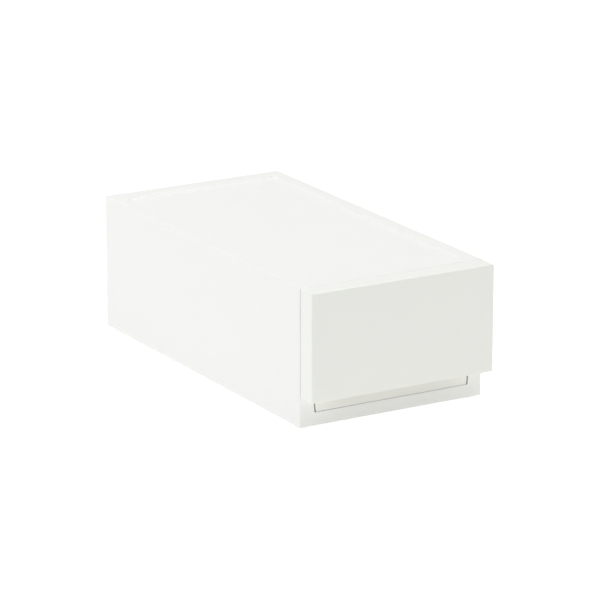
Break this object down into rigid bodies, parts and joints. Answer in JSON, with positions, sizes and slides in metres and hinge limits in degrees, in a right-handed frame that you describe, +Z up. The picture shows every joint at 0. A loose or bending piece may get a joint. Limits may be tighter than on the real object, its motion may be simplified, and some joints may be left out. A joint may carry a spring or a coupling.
{
  "type": "stackable drawer box",
  "caption": "Low white moulded box with a full-width overlay drawer front, a finger pull underneath, a recessed top for stacking and a plinth with a shallow notch.",
  "frame": {"origin": "centre of the whole box at the bottom, on the surface the feet stand on, drawer shut", "axes": "+X to the right seen from the drawer front, +Y to the back (the drawer opens towards -Y), +Z up"},
  "size_m": [0.17, 0.3456, 0.1165],
  "materials": {
    "case": "satin moulded polypropylene",
    "tray": "satin moulded polypropylene",
    "front": "satin moulded polypropylene",
    "clip": "satin moulded acetal",
    "pad": "soft matte elastomer"
  },
  "bodies": {
    "case": {"case_shell": "case", "stop_clip_left": "clip", "stop_clip_right": "clip", "foot_pad_front_left": "pad", "foot_pad_front_right": "pad", "foot_pad_back_left": "pad", "foot_pad_back_right": "pad"},
    "drawer": {"drawer_tray": "tray", "drawer_front": "front"}
  },
  "joints": [
    {"name": "drawer_slide", "type": "slide", "parent": "case", "child": "drawer", "axis": [0, -1, 0], "range_m": [0, 0.2475]}
  ]
}
